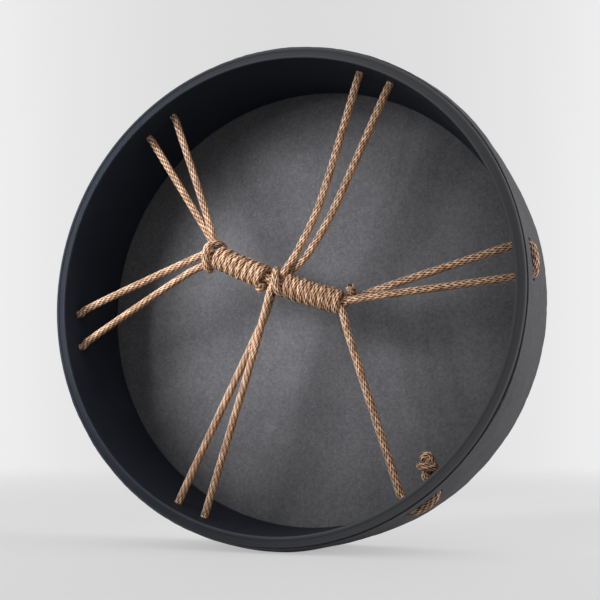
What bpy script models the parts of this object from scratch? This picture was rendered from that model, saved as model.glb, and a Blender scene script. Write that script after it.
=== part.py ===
# Hand drum with one closed face, held by a laced cord grip across its open back.
# The drum stands on its edge: its axis runs along Y, the open back faces -Y, and +Z is up.
# The origin is on the floor under the middle of the drum.

import math

import bmesh
import bpy
from mathutils import Euler, Matrix, Vector
from mathutils.geometry import interpolate_bezier

MM = 0.001

# Drum
DRUM_DIAMETER = 411.2 * MM        # over the felt
DRUM_DEPTH = 92.4 * MM            # from the back edge to the playing face
FELT_THICKNESS = 4.4 * MM
LIP_THICKNESS = 1.9 * MM          # felt at the open back, where it is drawn in
LIP_ROUNDING = 0.9 * MM
SWELL_DEPTH = 18.0 * MM           # from the back edge to where the felt has its full thickness
SHELL_WALL = 8.5 * MM
RIM_ROUNDING = 3.0 * MM           # both edges of the open back
BEARING_ROUNDING = 1.2 * MM       # shell edges under the head
HEAD_ROUNDING = 3.0 * MM          # outer edge of the playing face
BARE_RIM = 4.0 * MM               # shell left bare behind the felt skirt
SEAT_GAP = 0.3 * MM               # between pieces that touch
SEGMENTS = 72                     # facets round the drum, one of them flat on the floor

# Cord and its holes
CORD_DIAMETER = 6.0 * MM
CORD_DEPTH = 22.0 * MM            # from the back edge to the plane of the cords
STATIONS = 6                      # pairs of holes round the shell
FIRST_STATION = 5.0               # degrees from +X towards +Z
PAIR_SPREAD = 29.5 * MM           # between the two holes of a pair, along the inner wall
HOLE_SHIFTS = [-0.1, -1.6, -0.4, -0.7, 1.4, 1.25, 1.9, 1.9, 1.45, 0.5, 1.15, -0.4]   # degrees, by eye
HOLE_CLEARANCE = 0.8 * MM         # between cord and shell, all round
SLIT_CLEARANCE = 0.7 * MM         # between cord and felt, all round a pair's slit
BIGHT_BEND = 5.5 * MM             # bend of the cord where it leaves a hole
BIGHT_SINK = 1.10 * MM            # middle of the cord under the felt's face, where it lies in its slit
BIGHT_BOW = 0.8 * MM              # rise of the cord half way between its holes
MOUTH_REACH = 1.0 * MM            # cord stands out of the inner mouth of a hole
SPOKE_STUB = 1.2 * MM             # straight start of a strand out of its hole
SPOKE_RUN = 4.6 * MM              # from its start to the middle of its first bend

# Grip across the middle
GRIP_X = -3.6 * MM                # middle of the grip from the drum's axis
GRIP_Z = 9.5 * MM
GRIP_SLOPE = 22.25                # degrees, falling towards +X
GRIP_SAG = 3.0                    # millimetres, middle of the grip under its windings' outer ends
SAG_HALF = 60.0                   # millimetres from the middle, where the sag is measured
CORE_DIAMETER = 8.4 * MM          # bundle under the windings
WOUND_DIAMETER = 5.4 * MM         # cord pulled tight in windings and hitches
LEFT_GAP = 0.54 * MM              # between neighbouring turns of the left winding
RIGHT_GAP = 0.85 * MM             # between neighbouring turns of the right winding
LEFT_TURNS = 8
LEFT_START = -55.4 * MM           # first turn of the left winding, along the grip
RIGHT_TURNS = 8
RIGHT_START = 13.2 * MM           # first turn of the right winding
CROSSING_START = -3.6 * MM        # cord climbs over the grip here, before the right winding
CROSSING_RISE = 1.6 * MM          # extra height of that crossing over the turns
CORE_LEFT = [(-68.6, -2.6, 0.0), (-64.5, -0.6, 0.0)]      # end of the core, in millimetres
CORE_MIDDLE = [(-56.0, 0.0, 0.0), (0.0, 0.0, 0.0), (56.0, 0.0, 0.0)]
CORE_RIGHT = [(59.6, 0.25, 0.0), (64.4, 2.6, 0.3)]
POINTS_PER_TURN = 24
BEND_STEP = 16.0                  # degrees between points where a cord bends
STRAIGHT_END = 1.1                # straight ends of a winding, in cord diameters
CUT_END = [(0.4, -0.5, 2.6), (0.7, -1.8, 5.4), (0.9, -3.4, 8.0)]     # out of the left winding, in mm

# Stopper knot inside the last hole
KNOT_DIAMETER = 4.6 * MM          # cord pulled tight in the knot
KNOT_GAP = 0.5 * MM               # between its turns
KNOT_NECK = 3.6 * MM              # straight out of the hole
KNOT_LEAN = 58.0                  # degrees from the hole's axis, upwards
KNOT_LENGTH = 12.5 * MM           # from the neck to the turn of the cord
KNOT_TURNS = 1.0                  # of the cord round itself
KNOT_START = 290.0                # degrees round the hole, where the cord turns back

OUTER_RADIUS = DRUM_DIAMETER / 2
SHELL_RADIUS = OUTER_RADIUS - FELT_THICKNESS - SEAT_GAP
INNER_RADIUS = SHELL_RADIUS - SHELL_WALL
SHELL_DEPTH = DRUM_DEPTH - FELT_THICKNESS - SEAT_GAP
FACET = math.cos(math.pi / SEGMENTS)
AXIS_HEIGHT = OUTER_RADIUS * FACET
HALF_PAIR = math.degrees(PAIR_SPREAD / INNER_RADIUS / 2)
MOUTH_RADIUS = INNER_RADIUS * FACET - MOUTH_REACH
LIP_RADIUS = SHELL_RADIUS + SEAT_GAP + LIP_THICKNESS
SWELL_SHARE = min(1.0, (CORD_DEPTH - BARE_RIM) / (SWELL_DEPTH - BARE_RIM))
FELT_AT_CORDS = LIP_RADIUS + (OUTER_RADIUS - LIP_RADIUS) * SWELL_SHARE     # felt radius at the cords
STEP = 1.2 * CORD_DIAMETER        # between points of a straight stretch of cord


def clear_scene():
    for old in list(bpy.data.objects):
        bpy.data.objects.remove(old, do_unlink=True)


def make_material(name, colour, roughness):
    material = bpy.data.materials.new(name)
    material.use_nodes = True
    shader = material.node_tree.nodes["Principled BSDF"]
    shader.inputs["Base Color"].default_value = (*colour, 1.0)
    shader.inputs["Roughness"].default_value = roughness
    shader.inputs["Metallic"].default_value = 0.0
    material.diffuse_color = (*colour, 1.0)
    return material


def add_empty(name, location, turn=0.0, parent=None):
    empty = bpy.data.objects.new(name, None)
    empty.location = location
    empty.rotation_euler = (0.0, turn, 0.0)
    empty.parent = parent
    bpy.context.scene.collection.objects.link(empty)
    return empty


def add_mesh(name, bm, material, parent, sharp=40.0):
    mesh = bpy.data.meshes.new(name)
    bmesh.ops.recalc_face_normals(bm, faces=bm.faces)
    bm.to_mesh(mesh)
    bm.free()
    mesh.shade_smooth()
    mesh.set_sharp_from_angle(angle=math.radians(sharp))
    if material:
        mesh.materials.append(material)
    obj = bpy.data.objects.new(name, mesh)
    obj.parent = parent
    bpy.context.scene.collection.objects.link(obj)
    return obj


def rounded_corner(corner, before, after, radius, steps=3):
    # points of an arc that rounds a square corner of an outline
    start = (before - corner).normalized() * radius
    end = (after - corner).normalized() * radius
    centre = corner + start + end
    points = []
    for i in range(steps + 1):
        angle = math.pi / 2 * i / steps
        points.append(centre - end * math.cos(angle) - start * math.sin(angle))
    return points


def outline(corners):
    # corners are (radius, depth, rounding), in order round the section
    places = [Vector((r, d)) for r, d, _ in corners]
    points = []
    for i, (_, _, rounding) in enumerate(corners):
        if rounding:
            points += rounded_corner(places[i], places[i - 1], places[(i + 1) % len(places)], rounding)
        else:
            points.append(places[i])
    return points


def turned(name, points, material, parent, closed=True):
    # turns an outline of (radius, depth) points about the drum's axis, with a flat facet below
    bm = bmesh.new()
    tilt = Matrix.Rotation(math.pi / SEGMENTS, 3, "Y")
    down = Vector((0.0, 0.0, -1.0))
    verts = [bm.verts.new(tilt @ (down * p.x + Vector((0.0, p.y, 0.0)))) for p in points]
    pairs = list(zip(verts, verts[1:]))
    if closed:
        pairs.append((verts[-1], verts[0]))
    edges = [bm.edges.new(pair) for pair in pairs]
    bmesh.ops.spin(bm, geom=verts + edges, cent=(0, 0, 0), axis=(0, 1, 0), angle=2 * math.pi,
                   steps=SEGMENTS, use_merge=True)
    bmesh.ops.remove_doubles(bm, verts=bm.verts, dist=0.01 * MM)
    return add_mesh(name, bm, material, parent)


def polar(radius, degrees, forward=0.0):
    # point in the plane of the cords, from the drum's axis in its back plane
    angle = math.radians(degrees)
    return Vector((radius * math.cos(angle), CORD_DEPTH - forward, radius * math.sin(angle)))


def hole_angles():
    angles = []
    for i in range(STATIONS):
        middle = FIRST_STATION + 360.0 / STATIONS * i
        angles += [middle - HALF_PAIR, middle + HALF_PAIR]
    return [angle + shift for angle, shift in zip(angles, HOLE_SHIFTS)]


def hole_cutter(name, radius, parent):
    # twelve radial pins, one through each hole
    bm = bmesh.new()
    inside = INNER_RADIUS - CORD_DIAMETER
    length = OUTER_RADIUS + CORD_DIAMETER - inside
    for degrees in hole_angles():
        place = Matrix.Translation(polar(inside + length / 2, degrees))
        turn = Matrix.Rotation(math.pi / 2 - math.radians(degrees), 4, "Y")
        bmesh.ops.create_cone(bm, cap_ends=True, segments=12, radius1=radius,
                              radius2=radius, depth=length, matrix=place @ turn)
    return as_cutter(add_mesh(name, bm, None, parent))


def slit_cutter(name, width, parent):
    # six blocks, each from one hole of a pair to the other
    bm = bmesh.new()
    inside = SHELL_RADIUS - CORD_DIAMETER
    length = OUTER_RADIUS + CORD_DIAMETER - inside
    angles = hole_angles()
    for first, second in zip(angles[::2], angles[1::2]):
        degrees = (first + second) / 2
        spread = math.radians(second - first) * OUTER_RADIUS + width
        place = Matrix.Translation(polar(inside + length / 2, degrees))
        turn = Matrix.Rotation(math.pi / 2 - math.radians(degrees), 4, "Y")
        draw = Matrix.Diagonal((spread, width, length, 1.0))
        bmesh.ops.create_cube(bm, size=1.0, matrix=place @ turn @ draw)
    return as_cutter(add_mesh(name, bm, None, parent))


def as_cutter(obj):
    obj.hide_render = True
    obj.display_type = "WIRE"
    return obj


def cut(obj, cutter):
    modifier = obj.modifiers.new("cord_holes", "BOOLEAN")
    modifier.operation = "DIFFERENCE"
    modifier.solver = "EXACT"
    modifier.object = cutter


def smooth_route(points, spacing=STEP):
    # points along one smooth curve through a route's own points, closer together where it bends
    points = [Vector(p) for p in points]
    last = len(points) - 1
    tangents = []
    for i in range(last + 1):
        tangents.append((points[min(i + 1, last)] - points[max(i - 1, 0)]).normalized())
    route = [points[0]]
    for i in range(last):
        chord = points[i + 1] - points[i]
        turning = chord.angle(tangents[i]) + chord.angle(tangents[i + 1])
        pieces = max(1, round(chord.length / spacing), math.ceil(turning / math.radians(BEND_STEP)))
        handle = chord.length / 3
        route += interpolate_bezier(points[i], points[i] + tangents[i] * handle,
                                    points[i + 1] - tangents[i + 1] * handle,
                                    points[i + 1], pieces + 1)[1:]
    return route


def tube(name, points, diameter, material, parent, sides_step=2):
    curve = bpy.data.curves.new(name, "CURVE")
    curve.dimensions = "3D"
    curve.bevel_depth = diameter / 2
    curve.bevel_resolution = sides_step
    curve.use_fill_caps = True
    spline = curve.splines.new("POLY")
    spline.points.add(len(points) - 1)
    for place, point in zip(spline.points, points):
        place.co = (*point, 1.0)
    spline.use_smooth = True
    curve.materials.append(material)
    obj = bpy.data.objects.new(name, curve)
    obj.parent = parent
    bpy.context.scene.collection.objects.link(obj)
    return obj


def print_least_gap(name, points, diameter):
    # least distance between stretches of one tube that are not neighbours along it
    travelled = [0.0]
    for a, b in zip(points, points[1:]):
        travelled.append(travelled[-1] + (b - a).length)
    least = None
    for i, a in enumerate(points):
        for j in range(i + 1, len(points)):
            if travelled[j] - travelled[i] < 2.0 * diameter:
                continue
            gap = (points[j] - a).length - diameter
            if least is None or gap < least:
                least = gap
    print(f"{name}: least gap to itself {least / MM:.2f} mm")


# Shell, head and skirt

def build_drum(drum, shell_paint, felt):
    shell = turned("shell", outline([
        (INNER_RADIUS, 0.0, RIM_ROUNDING),
        (SHELL_RADIUS, 0.0, RIM_ROUNDING),
        (SHELL_RADIUS, SHELL_DEPTH, BEARING_ROUNDING),
        (INNER_RADIUS, SHELL_DEPTH, BEARING_ROUNDING),
    ]), shell_paint, drum)
    cut(shell, hole_cutter("shell_hole_cutter", CORD_DIAMETER / 2 + HOLE_CLEARANCE, drum))

    skirt_inside = SHELL_RADIUS + SEAT_GAP
    skirt = turned("head_skirt", outline([
        (skirt_inside, BARE_RIM, 0.0),
        (LIP_RADIUS, BARE_RIM, LIP_ROUNDING),
        (OUTER_RADIUS, SWELL_DEPTH, 0.0),
        (OUTER_RADIUS, SHELL_DEPTH, 0.0),
        (skirt_inside, SHELL_DEPTH, 0.0),
    ]), felt, drum)
    cut(skirt, slit_cutter("skirt_slit_cutter", CORD_DIAMETER + 2 * SLIT_CLEARANCE, drum))

    face = SHELL_DEPTH + SEAT_GAP
    head_points = [Vector((0.0, face)), Vector((OUTER_RADIUS, face))]
    head_points += rounded_corner(Vector((OUTER_RADIUS, DRUM_DEPTH)), Vector((OUTER_RADIUS, face)),
                                  Vector((0.0, DRUM_DEPTH)), HEAD_ROUNDING)
    head_points.append(Vector((0.0, DRUM_DEPTH)))
    turned("drum_head", head_points, felt, drum, closed=False)


# Bights: the cord outside the shell, in at one hole of a pair and out at the other

def bight_half(degrees, towards):
    # from the inner mouth of a hole to the start of the run along the slit
    bend_radius = FELT_AT_CORDS - BIGHT_SINK - BIGHT_BEND
    points = [polar(MOUTH_RADIUS, degrees), polar((MOUTH_RADIUS + bend_radius) / 2, degrees)]
    side = 1.0 if towards > degrees else -1.0
    for i in range(4):
        angle = math.pi / 2 * i / 3
        sideways = BIGHT_BEND * (1.0 - math.cos(angle))
        radius = bend_radius + BIGHT_BEND * math.sin(angle)
        points.append(polar(radius, degrees + side * math.degrees(sideways / radius)))
    return points


def build_bights(drum, cord):
    names = ["right", "upper_right", "upper_left", "left", "lower_left", "lower_right"]
    angles = hole_angles()
    for i in range(STATIONS):
        first, second = angles[2 * i], angles[2 * i + 1]
        crest = FELT_AT_CORDS - BIGHT_SINK + BIGHT_BOW
        middle = polar(crest, (first + second) / 2)
        back = bight_half(second, first)[::-1]
        route = smooth_route(bight_half(first, second) + [middle] + back)
        tube("bight_" + names[i % len(names)], route, CORD_DIAMETER, cord, drum)


# Grip: a core, two windings and the hitches at its ends, in the grip's own frame.
# There X runs along the grip, Z across it and -Y towards the open back.

def sag(s):
    # rise of the grip's line over its lowest point, which is in the middle, in millimetres
    return GRIP_SAG * (s / SAG_HALF) ** 2


def along(s, n, w):
    # millimetres along the grip, across it and forward, out of the open back
    return Vector((s * MM, -w * MM, (n + sag(s)) * MM))


def turn_point(s, degrees, radius):
    # a point of a winding: 0 degrees is in front, 90 degrees on top
    angle = math.radians(degrees)
    return Vector((s, -radius * math.cos(angle), radius * math.sin(angle) + sag(s / MM) * MM))


def straight_run(start, direction, length):
    return [start + direction.normalized() * length * i / 2 for i in (1, 2)]


def straight_ends(points, first, last):
    # carries both ends of a winding on, straight along the way they already run
    before = straight_run(points[0], points[0] - points[1], first)[::-1]
    return before + points + straight_run(points[-1], points[-1] - points[-2], last)


def build_grip(grip, cord):
    radius = (CORE_DIAMETER / 2 + SEAT_GAP + WOUND_DIAMETER / 2) / math.cos(math.pi / POINTS_PER_TURN)
    run = STRAIGHT_END * WOUND_DIAMETER

    core = [along(*point) for point in CORE_LEFT + CORE_MIDDLE + CORE_RIGHT]
    tube("grip_core", smooth_route(core), CORE_DIAMETER, cord, grip)

    # left winding: starts down the back, ends in a cut end that comes forward from below
    pitch = WOUND_DIAMETER + LEFT_GAP
    left = []
    for i in range(LEFT_TURNS * POINTS_PER_TURN + POINTS_PER_TURN // 4 + 1):
        share = i / POINTS_PER_TURN
        left.append(turn_point(LEFT_START + (share - 0.5) * pitch, 180.0 + 360.0 * share, radius))
    left = straight_run(left[0], left[0] - left[1], run / 2)[::-1] + left
    bottom = left[-1]
    left += [bottom + Vector((s, -w, n)) * MM for s, n, w in CUT_END]
    tube("winding_left", left, WOUND_DIAMETER, cord, grip, 1)
    print_least_gap("winding_left", left, WOUND_DIAMETER)

    # right winding: leaves the back of the core, crosses over it, winds, ends at the back
    pitch = WOUND_DIAMETER + RIGHT_GAP
    start_bottom = RIGHT_START - 0.75 * pitch
    right = []
    crossing = 3 * POINTS_PER_TURN // 4
    for i in range(crossing):
        share = i / crossing
        degrees = 180.0 - 270.0 * share
        across = max(0.0, (90.0 - degrees) / 180.0)
        s = CROSSING_START + (start_bottom - CROSSING_START) * across
        right.append(turn_point(s, degrees, radius + CROSSING_RISE * (1.0 - across)))
    steps = RIGHT_TURNS * POINTS_PER_TURN + POINTS_PER_TURN // 4
    for i in range(steps + 1):
        share = i / POINTS_PER_TURN
        right.append(turn_point(start_bottom + share * pitch, -90.0 - 360.0 * share, radius))
    right = straight_ends(right, run / 2, run / 2)
    tube("winding_right", right, WOUND_DIAMETER, cord, grip, 1)
    print_least_gap("winding_right", right, WOUND_DIAMETER)

    # left hitch: up the left side of the winding from below, over its top and down to its start
    way = (left[0] - left[1]).normalized()
    entry = left[0] + way * SEAT_GAP
    hitch = [along(-60.6, -12.9, -1.2), along(-62.0, -12.4, 3.2), along(-63.0, -9.8, 6.8),
             along(-64.4, -4.7, 9.3), along(-65.6, 0.4, 9.5), along(-65.6, 5.4, 8.2),
             along(-63.6, 9.4, 5.4), along(-61.0, 11.6, 1.0), along(-60.2, 11.2, -4.0),
             entry + way * 4.4 * MM, entry + way * 2.2 * MM, entry]
    route = smooth_route(hitch)
    tube("hitch_left", route, WOUND_DIAMETER, cord, grip, 1)
    print_least_gap("hitch_left", route, WOUND_DIAMETER)

    # right hitch: from the end of the winding up and over to a cut end above the core
    way = (right[-1] - right[-2]).normalized()
    leave = right[-1] + way * SEAT_GAP
    hitch = [leave, leave + way * 1.2 * MM, leave + way * 2.4 * MM, along(63.4, 9.0, -5.2),
             along(64.6, 10.6, -2.0), along(64.4, 11.6, 1.4), along(63.6, 12.6, 4.2)]
    route = smooth_route(hitch)
    tube("hitch_right", route, WOUND_DIAMETER, cord, grip, 1)
    print_least_gap("hitch_right", route, WOUND_DIAMETER)


# Strands from the holes to the grip: the hole, the points that the strand passes and the point
# where it ends, along, across and in front of the grip.

def butt(end, inner):
    # two points that carry a core's end on, a seat gap away from it and square to it
    end = Vector(end)
    way = (end - Vector(inner)).normalized()
    return [end + way * 5.0, end + way * SEAT_GAP / MM]


def strand_list():
    a = hole_angles()
    left_next, left_end = butt(*CORE_LEFT)
    right_next, right_end = butt(*CORE_RIGHT[::-1])
    return [
        ("strand_right_upper", a[1], [(82.0, 17.2, -7.4)], (69.0, 8.2, -7.6)),
        ("strand_right_lower", a[0], [right_next], right_end),
        ("strand_upper_right_left", a[3], [(11.8, 70.0, 0.5), (8.2, 26.2, 1.6)], (4.8, 11.6, 2.5)),
        ("strand_upper_right_right", a[2],
         [(24.2, 67.7, -0.8), (16.6, 29.4, -1.8), (8.4, 14.6, -3.6)], (5.4, 10.2, -4.0)),
        ("strand_upper_left_left", a[5], [(-82.0, 16.5, -3.4)], (-72.4, 9.8, -5.2)),
        ("strand_upper_left_right", a[4], [(-77.6, 22.0, -0.4)], (-68.0, 11.6, 0.0)),
        ("strand_left_upper", a[6], [left_next], left_end),
        ("strand_left_lower", a[7], [(-80.0, -25.1, 0.0)], (-68.0, -11.4, -1.6)),
        ("strand_lower_left_left", a[8], [(-1.2, -49.3, -3.0), (0.2, -29.0, -3.4)],
         (-1.0, -7.6, -3.4)),
        ("strand_lower_left_right", a[9], [(4.6, -65.0, 1.2), (1.8, -29.0, 3.2)], (-0.6, -7.8, 3.2)),
        ("strand_lower_right", a[10], [(74.6, -22.8, 1.6)], (64.9, -8.4, 2.2)),
    ]


def build_strands(drum, cord):
    place = Matrix.Translation(polar(0.0, 0.0) + Vector((GRIP_X, 0.0, GRIP_Z)))
    to_drum = place @ Euler((0.0, math.radians(GRIP_SLOPE), 0.0)).to_matrix().to_4x4()
    start = MOUTH_RADIUS - SEAT_GAP
    bend = start - SPOKE_RUN
    for name, degrees, passes, end in strand_list():
        route = [polar(start - SPOKE_STUB * i / 2, degrees) for i in range(3)]
        route.append(polar(bend, degrees))
        route += [to_drum @ along(*point) for point in passes + [end]]
        tube(name, smooth_route(route), CORD_DIAMETER, cord, drum)


# Stopper knot: from the inner mouth of the last hole, back round itself and out to a cut end

def build_knot(drum, cord):
    degrees = hole_angles()[-1]
    out = polar(1.0, degrees, CORD_DEPTH)
    axis = Matrix.Rotation(math.radians(KNOT_LEAN), 3, "Y") @ -out
    side = Vector((axis.z, 0.0, -axis.x))
    forward = Vector((0.0, -1.0, 0.0))
    mouth = polar(MOUTH_RADIUS - SEAT_GAP, degrees)
    neck = mouth - out * KNOT_NECK
    wrap = KNOT_DIAMETER + KNOT_GAP

    def place(inwards, radius, turn):
        angle = math.radians(KNOT_START - turn)
        return neck + axis * inwards + (forward * math.cos(angle) + side * math.sin(angle)) * radius

    # out of the hole, up into the drum, a hairpin, then turns back towards the wall
    bend = [mouth, mouth - out * KNOT_NECK / 2, place(0.08 * KNOT_LENGTH, 0.0, 0.0),
            place(0.4 * KNOT_LENGTH, 0.0, 0.0), place(0.7 * KNOT_LENGTH, 0.0, 0.0),
            place(KNOT_LENGTH, 0.0, 0.0), place(KNOT_LENGTH + 0.43 * wrap, 0.15 * wrap, 0.0),
            place(KNOT_LENGTH + 0.58 * wrap, 0.51 * wrap, 0.0),
            place(KNOT_LENGTH + 0.43 * wrap, 0.88 * wrap, 5.0),
            place(KNOT_LENGTH + 0.04 * wrap, 1.04 * wrap, 20.0),
            place(KNOT_LENGTH - 0.31 * wrap, 1.02 * wrap, 55.0)]
    for i in range(round(KNOT_TURNS * 8) + 1):
        share = i / 8
        inwards = KNOT_LENGTH - (0.51 + share * 1.03) * wrap
        bend.append(place(inwards, (1.04 + 0.08 * share) * wrap, 100.0 + 360.0 * share))
    # the cut end lies behind the turn, on the side of the wall
    last = 100.0 + 360.0 * KNOT_TURNS
    bend += [place(0.2 * KNOT_LENGTH, 1.26 * wrap, last + 14.0),
             place(0.24 * KNOT_LENGTH, 1.5 * wrap, last + 32.0),
             place(0.36 * KNOT_LENGTH, 1.72 * wrap, last + 52.0)]
    points = smooth_route(bend)
    tube("stopper_knot", points, KNOT_DIAMETER, cord, drum, 1)
    print_least_gap("stopper_knot", points, KNOT_DIAMETER)


def main():
    clear_scene()
    shell_paint = make_material("shell_paint", (0.012, 0.013, 0.016), 0.42)
    felt = make_material("felt", (0.125, 0.126, 0.133), 0.95)
    cord = make_material("cord", (0.55, 0.34, 0.20), 0.6)
    drum = add_empty("drum_frame", (0.0, -DRUM_DEPTH / 2, AXIS_HEIGHT))
    grip = add_empty("grip_frame", polar(0.0, 0.0) + Vector((GRIP_X, 0.0, GRIP_Z)),
                     math.radians(GRIP_SLOPE), drum)
    build_drum(drum, shell_paint, felt)
    build_bights(drum, cord)
    build_grip(grip, cord)
    build_strands(drum, cord)
    build_knot(drum, cord)


main()
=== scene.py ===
import math

import bmesh
import bpy
import numpy as np
from mathutils import Euler, Matrix, Vector, noise
from mathutils.geometry import interpolate_bezier


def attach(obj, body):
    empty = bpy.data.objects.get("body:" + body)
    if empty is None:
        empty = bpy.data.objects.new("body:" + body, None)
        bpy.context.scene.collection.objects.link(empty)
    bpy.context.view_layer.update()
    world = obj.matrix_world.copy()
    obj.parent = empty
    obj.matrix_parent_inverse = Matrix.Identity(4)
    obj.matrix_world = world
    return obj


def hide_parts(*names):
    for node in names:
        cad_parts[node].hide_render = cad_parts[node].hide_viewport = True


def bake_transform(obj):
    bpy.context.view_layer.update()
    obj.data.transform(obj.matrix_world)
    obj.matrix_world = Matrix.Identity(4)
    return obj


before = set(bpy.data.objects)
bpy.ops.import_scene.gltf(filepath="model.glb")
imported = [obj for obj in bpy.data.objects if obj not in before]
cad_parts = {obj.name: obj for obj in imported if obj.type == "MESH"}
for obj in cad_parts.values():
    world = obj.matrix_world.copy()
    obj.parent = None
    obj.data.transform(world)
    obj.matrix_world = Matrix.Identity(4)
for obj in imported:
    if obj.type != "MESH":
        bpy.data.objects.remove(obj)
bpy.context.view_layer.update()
scene = bpy.context.scene
scene.view_settings.view_transform = "Standard"
mm = 0.001

# the drum's own measures in metres, with its axis along Y and its open back towards -Y
# the shell's radii are 0.1 mm less than in the CAD
drum = {
    "radius": 205.6 * mm,
    "depth": 92.4 * mm,
    "axisHeight": 205.4043 * mm,
    "shellRadius": 200.8 * mm,
    "innerRadius": 192.3 * mm,
    "shellDepth": 87.7 * mm,
    "cordDepth": 22.0 * mm,
    "firstStation": 5.0,
    "stations": 6,
    "pairSpread": 29.5 * mm,
    "wallRadius": 192.4 * mm,
    "holeShifts": [-0.1, -1.6, -0.4, -0.7, 1.4, 1.25, 1.9, 1.9, 1.45, 0.5, 1.15, -0.4],
    "mouthRadius": 191.217 * mm,
}
drumCentre = Vector((0.0, -drum["depth"] / 2, drum["axisHeight"]))
seatGap = 0.3 * mm


# shader helpers

class Wire:
    # one output socket; arithmetic on it adds Math nodes
    def __init__(self, tree, socket):
        self.tree = tree
        self.socket = socket

    def math(self, operation, *others):
        return mathNode(self.tree, operation, self, *others)

    def __add__(self, other):
        return self.math("ADD", other)

    def __mul__(self, other):
        return self.math("MULTIPLY", other)

    def __sub__(self, other):
        return self.math("SUBTRACT", other)

    def __rsub__(self, other):
        return mathNode(self.tree, "SUBTRACT", other, self)

    def __truediv__(self, other):
        return self.math("DIVIDE", other)

    def step(self, low, high):
        # smooth 0 to 1 between two values
        node = self.tree.nodes.new("ShaderNodeMapRange")
        node.interpolation_type = "SMOOTHSTEP"
        plug(self.tree, node.inputs[0], self)
        for place, value in zip(node.inputs[1:5], (low, high, 0.0, 1.0)):
            place.default_value = value
        return Wire(self.tree, node.outputs[0])

    def line(self, slope, start):
        return self * slope + start


def mixed(wires, shares):
    total = wires[0] * shares[0]
    for wire, share in zip(wires[1:], shares[1:]):
        total = total + wire * share
    return total


def mathNode(tree, operation, *values):
    node = tree.nodes.new("ShaderNodeMath")
    node.operation = operation
    for place, value in zip(node.inputs, values):
        plug(tree, place, value)
    return Wire(tree, node.outputs[0])


def plug(tree, place, value):
    if isinstance(value, Wire):
        tree.links.new(value.socket, place)
    else:
        place.default_value = value


class Finish:
    # one material and its node tree
    def __init__(self, name, tint, roughness):
        self.material = bpy.data.materials.new(name)
        self.material.use_nodes = True
        self.tree = self.material.node_tree
        self.shader = self.tree.nodes["Principled BSDF"]
        self.shader.inputs["Base Color"].default_value = (*tint, 1.0)
        self.shader.inputs["Roughness"].default_value = roughness
        self.material.diffuse_color = (*tint, 1.0)

    def add(self, kind, settings=None, sockets=None, out=0):
        node = self.tree.nodes.new(kind)
        for key, value in (settings or {}).items():
            setattr(node, key, value)
        for key, value in (sockets or {}).items():
            plug(self.tree, node.inputs[key], value)
        return Wire(self.tree, node.outputs[out])

    def coords(self, scale=(1.0, 1.0, 1.0)):
        place = self.add("ShaderNodeTexCoord", out="Object")
        return self.add("ShaderNodeMapping", {}, {"Vector": place, "Scale": scale})

    def grain(self, vector, scale, detail, rough):
        sockets = {"Vector": vector, "Scale": scale, "Detail": detail, "Roughness": rough}
        return self.add("ShaderNodeTexNoise", {}, sockets)

    def spot(self, x, y):
        return self.add("ShaderNodeCombineXYZ", {}, {0: x, 1: y})

    def blend(self, share, first, second):
        node = self.tree.nodes.new("ShaderNodeMix")
        node.data_type = "RGBA"
        plug(self.tree, node.inputs[0], share)
        for place, value in ((node.inputs[6], first), (node.inputs[7], second)):
            plug(self.tree, place, value if isinstance(value, Wire) else (*value, 1.0))
        return Wire(self.tree, node.outputs[2])

    def colour(self, wire):
        plug(self.tree, self.shader.inputs["Base Color"], wire)

    def rough(self, wire):
        plug(self.tree, self.shader.inputs["Roughness"], wire)

    def bump(self, height, strength, distance):
        sockets = {"Height": height, "Strength": strength, "Distance": distance}
        plug(self.tree, self.shader.inputs["Normal"], self.add("ShaderNodeBump", {}, sockets))

    def constants(self, values):
        for name, value in values.items():
            self.shader.inputs[name].default_value = value


# finishes

feltLook = {
    "plain": (0.095, 0.095, 0.10),
    "dark": (0.0535, 0.0540, 0.0592),
    "light": (0.1235, 0.1235, 0.1315),
    "speck": (0.19, 0.19, 0.20),
    "pore": (0.024, 0.024, 0.028),
    "fine": (1500.0, 3.0, 0.7),      # grains: scale per metre, detail and roughness
    "nap": (420.0, 4.0, 0.65),
    "cloud": (24.0, 3.0, 0.6),
    "pores": (640.0, 2.0, 0.5),
    "fibre": (900.0, 900.0, 260.0),  # scales along x, y and z
    "thread": (260.0, 900.0, 900.0),
    "fibreGrain": (1.0, 2.0, 0.5),
    "toneMix": (0.5, 0.4, 0.2),      # of fine, nap and cloud
    "bumpMix": (0.5, 0.8, 0.3),
    "toneEnds": (0.36, 0.76),
    "poreEnds": (0.64, 0.76),
    "fibreEnds": (0.66, 0.76),
    "threadEnds": (0.67, 0.77),
    "poreShare": 0.5,
    "speckShare": 0.42,
    "bumpStrength": 0.5,
    "bumpHeight": 0.4 * mm,
    "roughness": 0.95,
    "sheen": 0.06,
    "sheenRoughness": 0.6,
    "specular": 0.15,
}


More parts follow.
